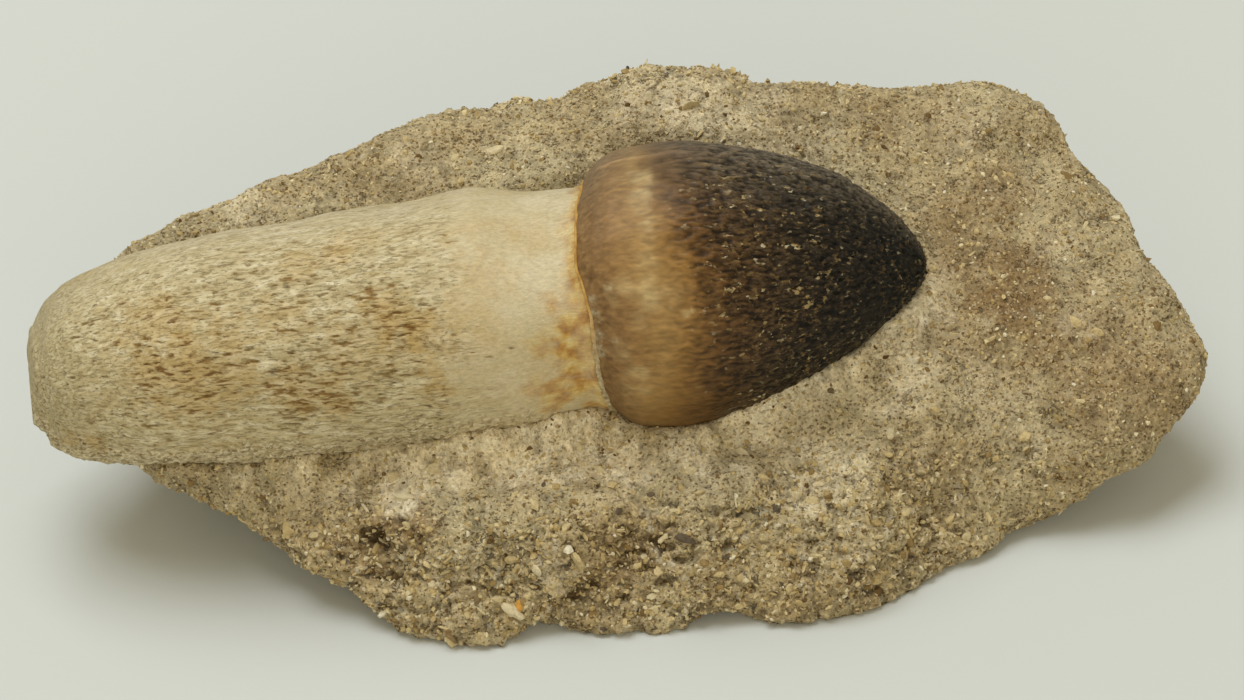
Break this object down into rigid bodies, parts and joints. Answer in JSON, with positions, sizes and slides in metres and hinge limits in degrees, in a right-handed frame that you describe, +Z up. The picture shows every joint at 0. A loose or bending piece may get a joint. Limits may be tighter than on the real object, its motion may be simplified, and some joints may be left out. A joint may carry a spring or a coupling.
{
  "type": "fossil mosasaur tooth in rock matrix",
  "caption": "Stout dark conical reptile tooth crown on a long pale root, lying half bedded in a loose block of sandy phosphate rock.",
  "frame": {"origin": "under the middle of the specimen's box, on the surface that the block rests on", "axes": "+X along the tooth from root to tip, +Z up, -Y toward the low broken front of the block"},
  "size_m": [0.1186, 0.0536, 0.0371],
  "materials": {
    "rock_matrix": "rough sandy phosphate rock with shell fragments",
    "tooth_root": "matt ivory fossil bone with fine lengthwise pits",
    "tooth_crown": "satin brown to black enamel, finely wrinkled"
  },
  "bodies": {
    "root": {"rock_matrix": "rock_matrix", "tooth_root": "tooth_root", "tooth_crown": "tooth_crown"}
  },
  "joints": []
}
